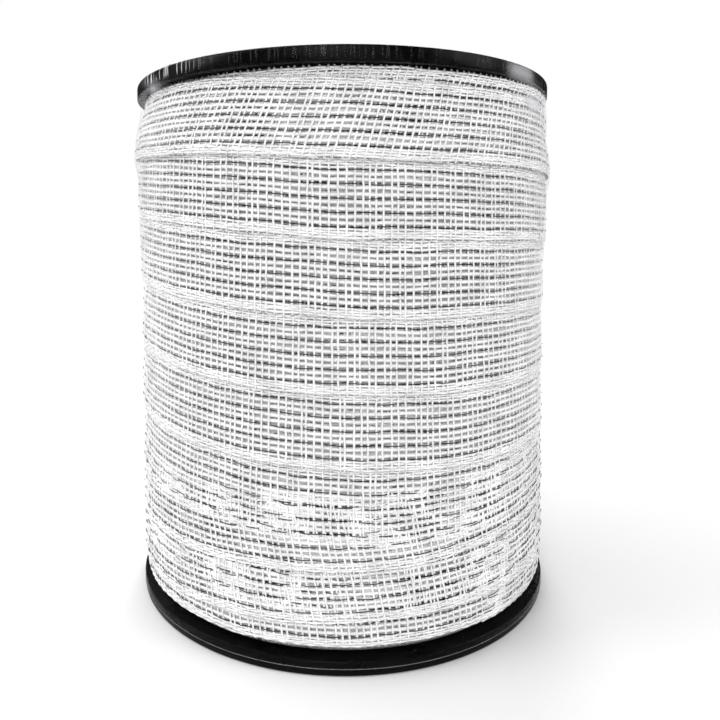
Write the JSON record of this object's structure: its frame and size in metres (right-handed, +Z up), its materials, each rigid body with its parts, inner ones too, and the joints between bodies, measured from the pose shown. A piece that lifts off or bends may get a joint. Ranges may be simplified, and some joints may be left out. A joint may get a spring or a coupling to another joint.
{
  "type": "electric fence tape",
  "caption": "Full plastic spool of white woven electric fence tape with steel wires, wound in side-by-side bands under clear shrink film.",
  "frame": {"origin": "centre of the lower flange's underside, on the axis of the bore", "axes": "+Z up along the spool's axis, +X and +Y level"},
  "size_m": [0.137, 0.137, 0.1596],
  "materials": {
    "black_plastic": "moulded black polypropylene, semi-gloss",
    "woven_tape": "open weave of white polyethylene strands with fine steel wires along the tape",
    "clear_film": "thin clear shrink film, glossy, with fine pleats over the flange rims"
  },
  "bodies": {
    "root": {"spool": "black_plastic", "tape_winding": "woven_tape", "shrink_film": "clear_film"}
  },
  "joints": []
}
